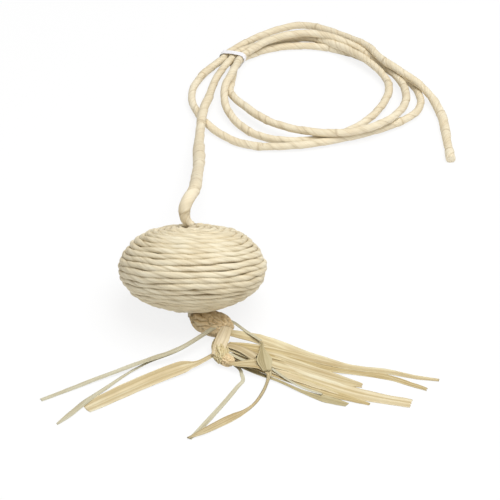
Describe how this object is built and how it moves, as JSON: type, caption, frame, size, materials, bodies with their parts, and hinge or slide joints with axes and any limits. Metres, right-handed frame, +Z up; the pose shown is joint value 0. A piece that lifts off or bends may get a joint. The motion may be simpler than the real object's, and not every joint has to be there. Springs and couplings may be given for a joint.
{
  "type": "rope-wound ball with cord and leaf tassel",
  "caption": "Flattened ball wound with twisted husk rope, threaded on a long husk-covered cord with a stopper knot and a tassel of dry leaf strips below; the cord's coil is held by a flat tie.",
  "frame": {"origin": "on the ground plane, at the middle of the footprint of the ball and tassel, without the free cord", "axes": "+Z up from the ground the object lies on; +X to the right and +Y away, seen with the tassel in front of the ball; the cord's coil lies behind the ball"},
  "size_m": [0.2376, 0.4239, 0.0654],
  "materials": {
    "husk_rope": "twisted dry husk",
    "pressed_core": "pressed pulp",
    "husk_cord": "spirally wrapped husk",
    "paper_tie": "matt white",
    "golden_husk": "folded dry husk",
    "pale_leaf": "dry leaf with fine ribs"
  },
  "bodies": {
    "tassel_and_cord": {"coil_tie": "paper_tie", "cord_coil": "husk_cord", "cord_in_ball": "husk_cord", "cord_lead": "husk_cord", "cord_tail": "husk_cord", "knot": "golden_husk", "leaf_front_folded": "pale_leaf", "leaf_front_lens": "pale_leaf", "leaf_gather": "golden_husk", "leaf_knot_tab": "pale_leaf", "leaf_left_broad": "pale_leaf", "leaf_left_fine": "pale_leaf", "leaf_left_long": "pale_leaf", "leaf_right_broad": "pale_leaf", "leaf_right_fifth": "pale_leaf", "leaf_right_fine": "pale_leaf", "leaf_right_first": "pale_leaf", "leaf_right_second": "pale_leaf", "leaf_right_sixth": "pale_leaf", "leaf_right_thin": "pale_leaf", "leaf_right_third": "pale_leaf", "leaf_stub": "golden_husk"},
    "ball": {"ball_core": "pressed_core", "ball_winding": "husk_rope"}
  },
  "joints": [
    {"name": "ball_spin", "type": "hinge", "parent": "tassel_and_cord", "child": "ball", "pos_m": [-0.026, 0.0359, 0.02828], "axis": [0, 0.4618, 0.887], "continuous": true}
  ]
}
